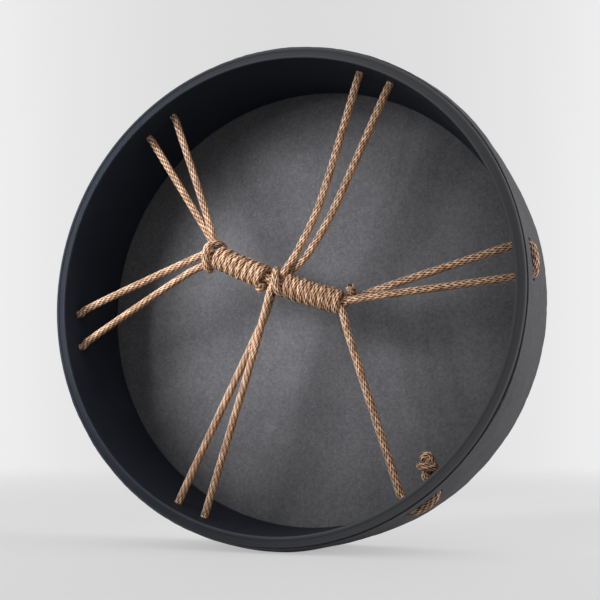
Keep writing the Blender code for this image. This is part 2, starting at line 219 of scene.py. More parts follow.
def makeFelt():
    v = feltLook
    felt = Finish("charcoal_felt", v["plain"], v["roughness"])
    place = felt.coords()
    fine = felt.grain(place, *v["fine"])
    nap = felt.grain(place, *v["nap"])
    cloud = felt.grain(place, *v["cloud"])
    fibre = felt.grain(felt.coords(v["fibre"]), *v["fibreGrain"])
    thread = felt.grain(felt.coords(v["thread"]), *v["fibreGrain"])
    pore = felt.grain(place, *v["pores"])
    tone = mixed((fine, nap, cloud), v["toneMix"]).step(*v["toneEnds"])
    base = felt.blend(tone, v["dark"], v["light"])
    base = felt.blend(pore.step(*v["poreEnds"]) * v["poreShare"], base, v["pore"])
    specks = (fibre.step(*v["fibreEnds"]) + thread.step(*v["threadEnds"])) * v["speckShare"]
    felt.colour(felt.blend(specks, base, v["speck"]))
    felt.bump(mixed((fine, nap, cloud), v["bumpMix"]), v["bumpStrength"], v["bumpHeight"])
    felt.constants({
        "Sheen Weight": v["sheen"],
        "Sheen Roughness": v["sheenRoughness"],
        "Specular IOR Level": v["specular"],
    })
    return felt.material


paintLook = {
    "plain": (0.010, 0.012, 0.016),
    "deep": (0.0165, 0.0206, 0.0312),
    "worn": (0.0255, 0.0302, 0.0425),
    "dusty": (0.088, 0.088, 0.092),          # front of the rim, lighter towards the right: painted side light
    "edge": (0.105, 0.105, 0.109),           # both edges of the rim: painted highlight on their roundings
    "peel": (520.0, 2.0, 0.5),               # grains: scale per metre, detail and roughness
    "cloud": (22.0, 4.0, 0.6),
    "dust": (1400.0, 2.0, 0.6),
    "toneMix": (0.7, 0.4),                   # of cloud and dust
    "toneEnds": (0.45, 0.85),
    "dustReach": (-160.0 * mm, 160.0 * mm),  # across the drum
    "dustShare": (0.75, 0.05),               # painted side light, added towards the right, and at the left
    "edgeShare": (0.7, 0.3),
    "edgeDust": (0.6, 0.4),                  # times the grain of the dust, and without it
    "edgeDepth": (0.8 * mm, 2.6 * mm),       # from the open back
    "edgeReach": (2.5 * mm, 3.3 * mm),       # from the middle of the wall
    "plainRoughness": 0.45,
    "roughness": 0.50,
    "roughMix": (0.20, 0.10, 0.35),          # added for cloud, peel and the front of the rim
    "bumpMix": (0.6, 0.25),                  # of peel and dust
    "bumpStrength": 0.2,
    "bumpHeight": 0.3 * mm,
    "specular": 0.2,
}


def makePaint():
    v = paintLook
    paint = Finish("black_shell_paint", v["plain"], v["plainRoughness"])
    place = paint.coords()
    peel = paint.grain(place, *v["peel"])
    cloud = paint.grain(place, *v["cloud"])
    dust = paint.grain(place, *v["dust"])
    base = paint.blend(mixed((cloud, dust), v["toneMix"]).step(*v["toneEnds"]), v["deep"], v["worn"])
    parts = paint.tree.nodes.new("ShaderNodeSeparateXYZ")
    plug(paint.tree, parts.inputs[0], place)
    x = Wire(paint.tree, parts.outputs[0])
    deep = Wire(paint.tree, parts.outputs[1]) + drum["depth"] / 2
    z = Wire(paint.tree, parts.outputs[2]) - drum["axisHeight"]
    middle = (drum["innerRadius"] + drum["shellRadius"]) / 2
    aside = ((x * x + z * z).math("SQRT") - middle).math("ABSOLUTE")
    front = 1.0 - deep.step(*v["edgeDepth"])
    right = x.step(*v["dustReach"])
    # painted side light: the front of the rim lighter towards the right
    base = paint.blend(front * right.line(*v["dustShare"]), base, v["dusty"])
    # painted highlight on both rounded edges of the rim, stronger towards the right
    edgeHighlight = front * aside.step(*v["edgeReach"]) * right.line(*v["edgeShare"])
    paint.colour(paint.blend(edgeHighlight * dust.line(*v["edgeDust"]), base, v["edge"]))
    paint.rough(mixed((cloud, peel, front), v["roughMix"]) + v["roughness"])
    paint.bump(mixed((peel, dust), v["bumpMix"]), v["bumpStrength"], v["bumpHeight"])
    paint.constants({"Specular IOR Level": v["specular"]})
    return paint.material


braidLook = {
    "tan": (0.33, 0.180, 0.096),
    "pale": (0.86, 0.565, 0.37),
    "fleck": (0.052, 0.017, 0.007),
    # painted shade along the stitches' sides
    "crease": (0.160, 0.072, 0.034),
    "scorchedTan": (0.13, 0.062, 0.030),
    "scorchedPale": (0.33, 0.19, 0.10),
    "columns": 15,
    "stagger": 0.32,         # each column of stitches starts about a third of a stitch on from the last
    "shear": 1.45,           # columns that a stitch would cross over its whole length
    "fleckShear": 1.0,
    "fleckWidth": 0.74,      # of a column
    "fleckLength": 0.28,     # of a stitch
    "fleckEnds": (0.45, 1.2),
    "creaseEnds": (0.16, 0.66),
    "yarn": (3.0, 4.0, 1.6),       # scales of its grain: across, slanting and along
    "worn": (0.5, 0.35),           # across and along
    "grain": (1.0, 2.0, 0.5),      # scale, detail and roughness
    "toneMix": (0.45, 0.55, 0.4),  # of stitch, yarn and worn
    "toneEnds": (0.35, 0.92),
    "fleckShare": 0.95,
    "creaseShare": 0.46,
    "plainRoughness": 0.55,
    "roughness": 0.42,
    "yarnRoughness": 0.2,          # added by the yarn's grain
    "bumpMix": (0.7, -0.6, -0.8),  # of yarn, shaded crease and fleck
    "bumpStrength": 0.6,
    "bumpHeight": 0.3 * mm,
    "sheen": 0.04,
    "specular": 0.25,
}


def makeBraid(name, tan, pale):
    # slanting stitches in columns side by side, dark between their ends, with painted shade along their
    # sides
    v = braidLook
    cord = Finish(name, tan, v["plainRoughness"])
    place = cord.add("ShaderNodeUVMap", {"uv_map": "braid"})
    parts = cord.tree.nodes.new("ShaderNodeSeparateXYZ")
    plug(cord.tree, parts.inputs[0], place)
    around, along = Wire(cord.tree, parts.outputs[0]), Wire(cord.tree, parts.outputs[1])
    column = around.math("FLOOR")
    across = around - column - 0.5
    staggered = along + column * v["stagger"]
    stitch = staggered.math("FLOOR")
    middle = staggered - stitch - 0.5
    gap = staggered - staggered.math("ROUND")
    wide = (across - gap * v["fleckShear"]) / v["fleckWidth"]
    long = gap / v["fleckLength"]
    fleck = 1.0 - (wide * wide + long * long).step(*v["fleckEnds"])
    crease = (across - middle * v["shear"]).math("ABSOLUTE").step(*v["creaseEnds"])
    spot = cord.spot(column, stitch)
    each = cord.add("ShaderNodeTexWhiteNoise", {"noise_dimensions": "2D"}, {"Vector": spot})
    yarnSpot = cord.spot(around * v["yarn"][0] - along * v["yarn"][1], along * v["yarn"][2])
    yarn = cord.grain(yarnSpot, *v["grain"])
    worn = cord.grain(cord.spot(around * v["worn"][0], along * v["worn"][1]), *v["grain"])
    tone = mixed((each, yarn, worn), v["toneMix"]).step(*v["toneEnds"])
    base = cord.blend(tone, tan, pale)
    # painted shade in the creases along the stitches' sides
    base = cord.blend(crease * v["creaseShare"], base, v["crease"])
    cord.colour(cord.blend(fleck * v["fleckShare"], base, v["fleck"]))
    cord.rough(yarn.line(v["yarnRoughness"], v["roughness"]))
    cord.bump(mixed((yarn, crease, fleck), v["bumpMix"]), v["bumpStrength"], v["bumpHeight"])
    cord.constants({"Sheen Weight": v["sheen"], "Specular IOR Level": v["specular"]})
    return cord.material


felt = makeFelt()
paint = makePaint()
braid = makeBraid("tan_braid", braidLook["tan"], braidLook["pale"])
scorched = makeBraid("scorched_braid", braidLook["scorchedTan"], braidLook["scorchedPale"])
print("finishes: felt, paint and braid")


# mesh helpers

meshValues = {"sharp": math.radians(38.0), "merge": 1e-6, "step": 5.0 * mm, "fineStep": 2.5 * mm}


def putObject(name, mesh, *materials):
    obj = bpy.data.objects.new(name, mesh)
    scene.collection.objects.link(obj)
    mesh.materials.clear()
    for material in materials:
        mesh.materials.append(material)
    return obj


def finishMesh(bm, name, material):
    bmesh.ops.remove_doubles(bm, verts=bm.verts, dist=meshValues["merge"])
    bmesh.ops.recalc_face_normals(bm, faces=bm.faces)
    mesh = bpy.data.meshes.new(name)
    bm.to_mesh(mesh)
    bm.free()
    mesh.shade_smooth()
    mesh.set_sharp_from_angle(angle=meshValues["sharp"])
    return putObject(name, mesh, material)


def roundCorner(corner, before, after, radius, steps):
    corner, before, after = Vector(corner), Vector(before), Vector(after)
    start = (before - corner).normalized() * radius
    end = (after - corner).normalized() * radius
    middle = corner + start + end
    turns = [math.pi / 2 * i / steps for i in range(steps + 1)]
    return [middle - end * math.cos(t) - start * math.sin(t) for t in turns]


def lineTo(start, end, reach):
    # points between two outline points, about reach apart, without the ends
    start, end = Vector(start), Vector(end)
    count = max(1, round((end - start).length / reach))
    return [start.lerp(end, i / count) for i in range(1, count)]


def spinOutline(bm, points, steps, closed):
    verts = [bm.verts.new((p.x, p.y, 0.0)) for p in points]
    edges = [bm.edges.new(pair) for pair in zip(verts, verts[1:])]
    if closed:
        edges.append(bm.edges.new((verts[-1], verts[0])))
    bmesh.ops.spin(bm, geom=verts + edges, cent=(0, 0, 0), axis=(0, 1, 0), angle=2 * math.pi,
                   steps=steps, use_merge=True)
    bmesh.ops.translate(bm, verts=bm.verts, vec=drumCentre)
    bmesh.ops.remove_doubles(bm, verts=bm.verts, dist=meshValues["merge"])


def polar(radius, degrees):
    # point in the plane of the cords
    angle = math.radians(degrees)
    return drumCentre + Vector((radius * math.cos(angle), drum["cordDepth"], radius * math.sin(angle)))


def stationAngles():
    return [drum["firstStation"] + 360.0 / drum["stations"] * i for i in range(drum["stations"])]


halfPair = math.degrees(drum["pairSpread"] / drum["wallRadius"] / 2)
evenHoles = [angle + side * halfPair for angle in stationAngles() for side in (-1.0, 1.0)]
holes = [angle + shift for angle, shift in zip(evenHoles, drum["holeShifts"])]


def cutAway(obj, cutter):
    # carries out a Boolean cut and keeps only its result
    modifier = obj.modifiers.new("cut", "BOOLEAN")
    modifier.operation = "DIFFERENCE"
    modifier.object = cutter
    bpy.context.view_layer.update()
    mesh = bpy.data.meshes.new_from_object(obj.evaluated_get(bpy.context.evaluated_depsgraph_get()))
    obj.modifiers.clear()
    old = obj.data
    mesh.name = old.name
    obj.data = mesh
    bpy.data.meshes.remove(old)
    bpy.data.objects.remove(cutter, do_unlink=True)
    mesh.shade_smooth()
    mesh.set_sharp_from_angle(angle=meshValues["sharp"])


def radial(radius, degrees):
    # a frame in the plane of the cords: X along the shell, Z out of it
    turn = Matrix.Rotation(math.pi / 2 - math.radians(degrees), 4, "Y")
    return Matrix.Translation(polar(radius, degrees)) @ turn


# camera, from the photo's vanishing lines: a low viewpoint to the right of the drum

view = {
    "place": (0.2872, -0.7417, 0.0841),
    "yaw": -20.61,           # degrees
    "pitch": 8.516,
    "lens": 57.37,           # mm
    "sensor": 36.0,          # mm across
    "near": 0.01,
}


def makeCamera():
    camera = bpy.data.objects.new("camera", bpy.data.cameras.new("camera"))
    scene.collection.objects.link(camera)
    camera.data.lens = view["lens"]
    camera.data.sensor_width = view["sensor"]
    camera.data.clip_start = view["near"]
    camera.location = view["place"]
    camera.rotation_euler = Euler((math.radians(90.0 + view["pitch"]), 0.0, math.radians(-view["yaw"])))
    scene.camera = camera


makeCamera()


# shell: a black ring, grooved and rounded at the open back

shellValues = {
    "rimRound": 1.5 * mm,
    "rimSteps": 8,
    "groove": 0.5 * mm,      # its depth
    "ridge": 2.7 * mm,       # width of the rim left at each side of the groove
    "bearingRound": 1.2 * mm,
    "bearingSteps": 4,
    "steps": 288,
    "hole": 3.7 * mm,        # radius
    "holeSides": 24,
    "pinExtra": 12.0 * mm,   # by which a cutting pin is longer than the wall is thick
}


def makeShell():
    inner, outer, deep = drum["innerRadius"], drum["shellRadius"], drum["shellDepth"]
    rim = (shellValues["rimRound"], shellValues["rimSteps"])
    bearing = (shellValues["bearingRound"], shellValues["bearingSteps"])
    corners = [(inner, 0.0), (outer, 0.0), (outer, deep), (inner, deep)]
    rounds = [rim, rim, bearing, bearing]
    outline = []
    for i, corner in enumerate(corners):
        arc = roundCorner(corner, corners[i - 1], corners[(i + 1) % 4], *rounds[i])
        if i == 1:
            # the flat strip lies a little lower than the two edges
            low, ridge = shellValues["groove"], shellValues["ridge"]
            outline += [Vector((inner + ridge, 0.0)), Vector((inner + ridge + low, low))]
            outline += [Vector((outer - ridge - low, low)), Vector((outer - ridge, 0.0))]
        elif outline:
            outline += lineTo(outline[-1], arc[0], meshValues["step"])
        outline += arc
    outline += lineTo(outline[-1], outline[0], meshValues["step"])
    bm = bmesh.new()
    spinOutline(bm, outline, shellValues["steps"], True)
    shell = finishMesh(bm, "shell_ring", paint)
    bm = bmesh.new()
    reach, hole = outer - inner + shellValues["pinExtra"], shellValues["hole"]
    for degrees in holes:
        bmesh.ops.create_cone(bm, cap_ends=True, segments=shellValues["holeSides"], radius1=hole,
                              radius2=hole, depth=reach, matrix=radial((inner + outer) / 2, degrees))
    cutAway(shell, finishMesh(bm, "shell_pins", paint))
    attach(shell, "drum")
    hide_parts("shell")
    print("shell:", len(shell.data.polygons), "faces")


makeShell()


# felt cover: one sheet, the playing face and its skirt, slit where the cord passes

coverValues = {
    "thick": 4.4 * mm,
    "edge": 4.0 * mm,        # shell left bare at the open back
    "lip": 1.9 * mm,         # felt drawn in at the open back
    "swell": 18.0 * mm,      # from the back edge to its full thickness
    "dents": [0, 5],         # pairs of holes where the cord draws the felt in
    "dentLip": 0.7 * mm,
    "dentSwell": 46.0 * mm,
    "dentReach": (13.0, 34.0),  # degrees round the drum, from the full dent to none
    "lipRound": 0.8 * mm,
    "lipSteps": 4,
    "shoulder": 3.0 * mm,
    "shoulderSteps": 6,
    "slitWidth": 6.6 * mm,
    "slitDeep": 14.0 * mm,
    "slitLine": 5.0 * mm,    # the cut runs on past the cord
    "slitFine": 0.6 * mm,
    "lumps": 0.34 * mm,
    "lumpScale": 60.0,       # per metre
    "fineScale": 4.3,        # of the finer lumps, against the others
    "fineShare": 0.8,
    "lumpShift": 0.5,        # so that more lumps go in than out
    "heldDown": 1.2 * mm,    # from the shell
    "standing": 6.0 * mm,    # from the floor
    "steps": 360,
}


def feltThick(deep, lip, swell):
    # thickness of the felt at a depth from the back edge
    share = max(0.0, min(1.0, (deep - coverValues["edge"]) / (swell - coverValues["edge"])))
    return lip + (coverValues["thick"] - lip) * share


def dentShare(place):
    # 1 beside a dent, 0 away from it
    near, far = coverValues["dentReach"]
    angle = math.degrees(math.atan2(place.z - drum["axisHeight"], place.x))
    middles = [(holes[2 * i] + holes[2 * i + 1]) / 2 for i in coverValues["dents"]]
    away = min(abs((angle - middle + 180.0) % 360.0 - 180.0) for middle in middles)
    share = max(0.0, min(1.0, (far - away) / (far - near)))
    return share * share * (3.0 - 2.0 * share)


def drawIn(bm, inside):
    # thins the felt of the skirt beside the dents
    v = coverValues
    for vert in bm.verts:
        deep = vert.co.y - drumCentre.y
        away = math.hypot(vert.co.x, vert.co.z - drum["axisHeight"])
        if deep < v["dentSwell"] and away > inside:
            ratio = feltThick(deep, v["dentLip"], v["dentSwell"]) / feltThick(deep, v["lip"], v["swell"])
            wanted = inside + (away - inside) * (1.0 + (ratio - 1.0) * dentShare(vert.co))
            vert.co.x *= wanted / away
            vert.co.z = drum["axisHeight"] + (vert.co.z - drum["axisHeight"]) * wanted / away


def slitBlocks(further, width):
    # one block for each pair, from one hole to the other and a little further
    bm = bmesh.new()
    for first, second in zip(holes[::2], holes[1::2]):
        length = math.radians(second - first) * drum["radius"] + coverValues["slitWidth"] + 2 * further
        place = radial(drum["radius"] - coverValues["thick"] / 2, (first + second) / 2)
        size = Matrix.Diagonal((length, width, coverValues["slitDeep"], 1.0))
        bmesh.ops.create_cube(bm, size=1.0, matrix=place @ size)
    return finishMesh(bm, "slit_blocks", felt)


def makeCover():
    v = coverValues
    outer, deep, edge = drum["radius"], drum["depth"], v["edge"]
    inside, face = outer - v["thick"], deep - v["thick"]
    thin = inside + v["lip"]
    step, fineStep = meshValues["step"], meshValues["fineStep"]
    lip = roundCorner((thin, edge), (inside, edge), (thin, deep), v["lipRound"], v["lipSteps"])
    shoulder = roundCorner((outer, deep), (outer, edge), (0.0, deep), v["shoulder"], v["shoulderSteps"])
    full = Vector((outer, v["swell"]))
    outline = [Vector((0.0, face))] + lineTo((0.0, face), (inside, face), step)
    outline += [Vector((inside, face))] + lineTo((inside, face), (inside, edge), step)
    outline += [Vector((inside, edge))] + lip + lineTo(lip[-1], full, fineStep)
    outline += [full] + lineTo(full, shoulder[0], fineStep) + shoulder
    outline += lineTo(shoulder[-1], (0.0, deep), step) + [Vector((0.0, deep))]
    bm = bmesh.new()
    spinOutline(bm, outline, v["steps"], False)
    drawIn(bm, inside)
    bmesh.ops.recalc_face_normals(bm, faces=bm.faces)
    for vert in bm.verts:
        # slightly lumpy felt, held down where it lies on the shell and where it stands
        away = math.hypot(vert.co.x, vert.co.z - drum["axisHeight"])
        if away > inside + v["heldDown"] and vert.co.z > v["standing"]:
            place = vert.co * v["lumpScale"]
            lump = noise.noise(place) + v["fineShare"] * noise.noise(place * v["fineScale"]) - v["lumpShift"]
            vert.co += vert.normal * v["lumps"] * lump
    cover = finishMesh(bm, "felt_cover", felt)
    cutAway(cover, slitBlocks(0.0, v["slitWidth"]))
    cutAway(cover, slitBlocks(v["slitLine"], v["slitFine"]))
    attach(cover, "drum")
    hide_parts("drum_head", "head_skirt")
    area = math.pi * outer ** 2 + 2 * math.pi * (outer - v["thick"] / 2) * (deep - edge)
    across = 2 * math.sqrt(area / math.pi)
    print("felt cover:", len(cover.data.polygons), "faces, cut", round(across, 3), "m across")


makeCover()


# cord: every stretch is a braided tube along the CAD's route or close to it

cordValues = {
    "diameter": 6.3 * mm,
    "wound": 6.6 * mm,
    "period": 6.1 * mm,      # of the stitches along the cord
    "sides": 60,
    "ring": 0.70 * mm,       # between rings of the tube
    "fewestRings": 4,
    "curveSteps": 24,        # from one route point to the next
    "same": 1e-9,            # points nearer than this are one
    "pit": 0.10,             # depth between stitches, as a share of the radius
    "firstStitch": 40.0,     # where the count of stitches starts
}


def smoothRoute(points):
    # the CAD's smooth curve, read finely and then at even steps
    points = [Vector(p) for p in points]
    last = len(points) - 1
    tangents = [(points[min(i + 1, last)] - points[max(i - 1, 0)]).normalized() for i in range(last + 1)]
    dense = [points[0]]
    for i in range(last):
        reach = (points[i + 1] - points[i]).length / 3
        leave, arrive = points[i] + tangents[i] * reach, points[i + 1] - tangents[i + 1] * reach
        dense += interpolate_bezier(points[i], leave, arrive, points[i + 1], cordValues["curveSteps"])[1:]
    return evenSteps(dense)


def evenSteps(points):
    path = np.array([list(p) for p in points])
    gaps = np.linalg.norm(np.diff(path, axis=0), axis=1)
    path = path[np.concatenate([[True], gaps > cordValues["same"]])]
    travelled = np.concatenate([[0.0], np.cumsum(np.linalg.norm(np.diff(path, axis=0), axis=1))])
    count = max(cordValues["fewestRings"], int(round(travelled[-1] / cordValues["ring"])))
    at = np.linspace(0.0, travelled[-1], count + 1)
    return np.stack([np.interp(at, travelled, path[:, i]) for i in range(3)], axis=1)


def bareTube(name, path, diameter, sides):
    # a bevelled curve made a mesh: rings in order, each with its sides in order
    curve = bpy.data.curves.new(name, "CURVE")
    curve.dimensions = "3D"
    curve.bevel_depth = diameter / 2
    curve.bevel_resolution = (sides - 4) // 2  # each step of it adds two sides to four
    spline = curve.splines.new("POLY")
    spline.points.add(len(path) - 1)
    spline.points.foreach_set("co", np.concatenate([path, np.ones((len(path), 1))], axis=1).ravel())
    guide = bpy.data.objects.new(name + "_guide", curve)
    scene.collection.objects.link(guide)
    bpy.context.view_layer.update()
    mesh = bpy.data.meshes.new_from_object(guide.evaluated_get(bpy.context.evaluated_depsgraph_get()))
    bpy.data.objects.remove(guide, do_unlink=True)
    bpy.data.curves.remove(curve)
    mesh.name = name
    return mesh


def stitchHeight(around, along):
    # 1 on top of a stitch, 0 in the pit between stitches, as in the braid's finish
    across = around % 1.0 - 0.5
    middle = (along + np.floor(around) * braidLook["stagger"]) % 1.0 - 0.5
    leaning = np.clip(across - middle * braidLook["shear"], -0.5, 0.5)
    return np.cos(math.pi * leaning) ** 0.5 * (1.0 - np.abs(2 * middle) ** 4)


def braidTube(name, path, diameter, startPhase=0.0, scorch=0.0, fray=0):
    # one cord: its rings raised and sunk as the braid is, closed at both ends
    sides, columns = cordValues["sides"], braidLook["columns"]
    mesh = bareTube(name, path, diameter, sides)
    rings = len(path)
    spots = np.empty(len(mesh.vertices) * 3)
    mesh.vertices.foreach_get("co", spots)
    spots = spots.reshape(rings, sides, 3)
    steps = np.concatenate([[0.0], np.cumsum(np.linalg.norm(np.diff(path, axis=0), axis=1))])
    along = cordValues["firstStitch"] + startPhase + steps / cordValues["period"]
    around = np.arange(sides) / sides * columns
    swell = 1.0 - cordValues["pit"] * (1.0 - stitchHeight(around[None, :], along[:, None]))
    centre = path[:, None, :]
    spots = centre + (spots - centre) * swell[:, :, None]
    mesh.vertices.foreach_set("co", spots.ravel())
    for layer in list(mesh.uv_layers):
        mesh.uv_layers.remove(layer)
    corner = np.empty(len(mesh.loops), dtype=np.int64)
    mesh.loops.foreach_get("vertex_index", corner)
    ring, side = np.divmod(corner, sides)
    quads = side.reshape(-1, 4)
    wraps = (quads.max(axis=1) - quads.min(axis=1) > 1).repeat(4)
    side = np.where(wraps & (side == 0), sides, side)
    layer = mesh.uv_layers.new(name="braid")
    uv = np.stack([side / sides * columns, along[ring]], axis=1)
    layer.data.foreach_set("uv", uv.ravel())
    burnt = np.zeros(len(mesh.polygons), dtype=np.int32)
    if scorch:
        burnt[steps[-1] - steps[ring.reshape(-1, 4).max(axis=1)] < scorch] = 1
    mesh.polygons.foreach_set("material_index", burnt)
    lastIndex = 1 if scorch else 0
    bm = bmesh.new()
    bm.from_mesh(mesh)
    closeEnds(bm, diameter, lastIndex, Vector(path[-1]))
    if fray:
        frayEnd(bm, path, diameter, fray, lastIndex)
    bmesh.ops.recalc_face_normals(bm, faces=bm.faces)
    bm.to_mesh(mesh)
    bm.free()
    mesh.shade_smooth()
    return putObject(name, mesh, braid, scorched)


# cut ends of the cord; most of these are shares of its diameter
endValues = {
    "inset": 0.18,
    "dome": 0.08,
    "columns": 4.0,          # of the braid across a cut end
    "stitches": 1.2,
    "braidMiddle": (0.5, 0.6),
}
frayValues = {
    "sunk": 0.4 * mm,
    "turn": 2.4,             # radians from one yarn to the next
    "spread": 0.36,
    "lean": (0.25, 0.55),    # in the middle, and added towards the outside
    "leanShare": (0.7, 0.3),
    "leanTurn": 5.0,         # radians from one yarn to the next, so that no two are alike
    "reach": (0.42, 0.16),
    "reachTurn": 3.0,
    "columnStep": 2.0,
    "sides": 7,
    "root": 0.15,
    "tip": 0.07,
}


def closeEnds(bm, diameter, lastIndex, lastPoint):
    # each end is a cut face, a little domed, with the braid laid flat across it
    v = endValues
    loose = [edge for edge in bm.edges if edge.is_boundary]
    caps = bmesh.ops.holes_fill(bm, edges=loose, sides=0)["faces"]
    layer = bm.loops.layers.uv["braid"]
    for face in caps:
        face.normal_update()
        middle, side = face.calc_center_median(), face.normal.orthogonal().normalized()
        up = face.normal.cross(side)
        for loop in face.loops:
            spot = (loop.vert.co - middle) / diameter
            around = v["columns"] * spot.dot(side) + v["braidMiddle"][0]
            loop[layer].uv = (around, v["stitches"] * spot.dot(up) + v["braidMiddle"][1])
        if (middle - lastPoint).length < diameter:
            face.material_index = lastIndex
    bmesh.ops.inset_region(bm, faces=caps, thickness=v["inset"] * diameter, use_even_offset=True)
    for face in caps:
        face.normal_update()
        for vert in face.verts:
            vert.co += face.normal * v["dome"] * diameter


def frayEnd(bm, path, diameter, count, index):
    # loose yarns that stand out of a cut end
    v = frayValues
    layer = bm.loops.layers.uv["braid"]
    tip = Vector(path[-1])
    way = (tip - Vector(path[-4])).normalized()
    side = way.orthogonal().normalized()
    for i in range(count):
        share = math.sqrt((i + 0.5) / count)
        out = Matrix.Rotation(v["turn"] * i, 3, way) @ side
        root = tip - way * v["sunk"] + out * v["spread"] * diameter * share
        uneven = v["leanShare"][0] + v["leanShare"][1] * math.sin(v["leanTurn"] * i)
        lean = (way + out * (v["lean"][0] + v["lean"][1] * share) * uneven).normalized()
        reach = diameter * (v["reach"][0] + v["reach"][1] * math.sin(v["reachTurn"] * i + 1.0))
        turned = lean.to_track_quat("Z", "Y").to_matrix().to_4x4()
        made = bmesh.ops.create_cone(bm, cap_ends=True, segments=v["sides"], radius1=v["root"] * diameter,
                                     radius2=v["tip"] * diameter, depth=reach,
                                     matrix=Matrix.Translation(root + lean * reach / 2) @ turned)
        for face in {face for vert in made["verts"] for face in vert.link_faces}:
            face.material_index = index
            for loop in face.loops:
                loop[layer].uv = (0.5 + v["columnStep"] * i, 0.5)


# the grip's frame: along it, across it and forward, out of the open back, in millimetres

grip = {"x": -3.6 * mm, "z": 9.5 * mm, "slope": 22.25, "sag": 3.0, "sagHalf": 60.0}
gripPlace = Matrix.Translation(polar(0.0, 0.0) + Vector((grip["x"], 0.0, grip["z"])))
gripPlace = gripPlace @ Euler((0.0, math.radians(grip["slope"]), 0.0)).to_matrix().to_4x4()


def sag(s):
    # rise of the grip's line over its middle
    return grip["sag"] * (s / grip["sagHalf"]) ** 2


def gripSpot(s, n, w):
    return Vector((s * mm, -w * mm, (n + sag(s)) * mm))


def onGrip(*points):
    return [gripPlace @ gripSpot(*p) for p in points]


def turnPoint(s, degrees, radius):
    angle = math.radians(degrees)
    return Vector((s, -radius * math.cos(angle), radius * math.sin(angle) + sag(s / mm) * mm))


def carryOn(points, first, last):
    # both ends of a winding run on straight
    before = points[0] + (points[0] - points[1]).normalized() * first
    after = points[-1] + (points[-1] - points[-2]).normalized() * last
    return [before] + points + [after]


windingValues = {
    "leftPitch": 5.94 * mm,
    "rightPitch": 6.25 * mm,
    "radius": 7.262 * mm,
    "turnSteps": 48,
    "leftTurns": 8,
    "leftStart": -55.4 * mm,
    "rightTurns": 8,
    "rightStart": 13.2 * mm,
    "crossingStart": -3.6 * mm,
    "crossingRise": 1.6 * mm,
    "run": 2.97 * mm,
    "cutEnd": [(0.4, -0.5, 2.6), (0.7, -1.8, 5.4), (0.9, -3.4, 8.0)],
}
gripValues = {
    "core": 8.4 * mm,
    "coreRoute": [(-68.6, -2.6, 0.0), (-64.5, -0.6, 0.0), (-56.0, 0.0, 0.0), (0.0, 0.0, 0.0),
                  (56.0, 0.0, 0.0), (59.6, 0.25, 0.0), (64.4, 2.6, 0.3)],
    # nearer to the winding than in the CAD, where the cord is thinner
    "hitchLeft": [(-60.6, -12.9, -1.2), (-62.0, -12.4, 3.2), (-63.0, -9.8, 6.8), (-64.4, -4.7, 9.3),
                  (-65.6, 0.4, 9.5), (-65.6, 5.2, 8.2), (-63.6, 8.4, 5.4), (-61.0, 9.9, 1.0),
                  (-60.2, 9.8, -4.0)],
    "hitchRight": [(63.4, 9.0, -5.2), (64.6, 10.6, -2.0), (64.4, 11.6, 1.4), (63.6, 12.6, 4.2)],
    "leftRun": (4.7, 2.5, 0.0),    # from the winding's end
    "rightRun": (0.0, 1.5, 2.7),
    "fray": 11,
    "phases": {"winding_right": 0.3, "hitch_left": 0.1, "hitch_right": 0.6},
}


def leftWinding():
    v, pitch = windingValues, windingValues["leftPitch"]
    points = []
    for i in range(v["leftTurns"] * v["turnSteps"] + v["turnSteps"] // 4 + 1):
        share = i / v["turnSteps"]
        points.append(turnPoint(v["leftStart"] + (share - 0.5) * pitch, 180.0 + 360.0 * share, v["radius"]))
    cutEnd = [points[-1] + Vector((s, -w, n)) * mm for s, n, w in v["cutEnd"]]
    return carryOn(points, v["run"], 0.0)[:-1] + cutEnd


def rightWinding():
    v, pitch = windingValues, windingValues["rightPitch"]
    bottom = v["rightStart"] - 0.75 * pitch
    crossing = 3 * v["turnSteps"] // 4
    # from behind over the top and across the front to the underside, then turn on turn
    points = []
    for i in range(crossing):
        degrees = 180.0 - 270.0 * i / crossing
        share = max(0.0, (90.0 - degrees) / 180.0)
        s = v["crossingStart"] + (bottom - v["crossingStart"]) * share
        points.append(turnPoint(s, degrees, v["radius"] + v["crossingRise"] * (1.0 - share)))
    for i in range(v["rightTurns"] * v["turnSteps"] + v["turnSteps"] // 4 + 1):
        share = i / v["turnSteps"]
        points.append(turnPoint(bottom + share * pitch, -90.0 - 360.0 * share, v["radius"]))
    return carryOn(points, v["run"], v["run"])


def makeGrip():
    v, wound, phases = gripValues, cordValues["wound"], gripValues["phases"]
    left = [gripPlace @ p for p in leftWinding()]
    right = [gripPlace @ p for p in rightWinding()]
    way = (left[0] - left[1]).normalized()
    hitchLeft = onGrip(*v["hitchLeft"]) + [left[0] + way * reach * mm for reach in v["leftRun"]]
    way = (right[-1] - right[-2]).normalized()
    hitchRight = [right[-1] + way * reach * mm for reach in v["rightRun"]] + onGrip(*v["hitchRight"])
    made = [
        braidTube("grip_core_braid", smoothRoute(onGrip(*v["coreRoute"])), v["core"]),
        braidTube("winding_left_braid", evenSteps(left), wound),
        braidTube("winding_right_braid", evenSteps(right), wound, phases["winding_right"]),
        braidTube("hitch_left_braid", smoothRoute(hitchLeft), wound, phases["hitch_left"]),
        braidTube("hitch_right_braid", smoothRoute(hitchRight), wound, phases["hitch_right"],
                  fray=v["fray"]),
    ]
    for piece in made:
        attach(piece, "grip")
        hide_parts(piece.name.replace("_braid", ""))
    print("grip:", sum(len(piece.data.polygons) for piece in made), "faces")


makeGrip()


# strands from the holes into the grip

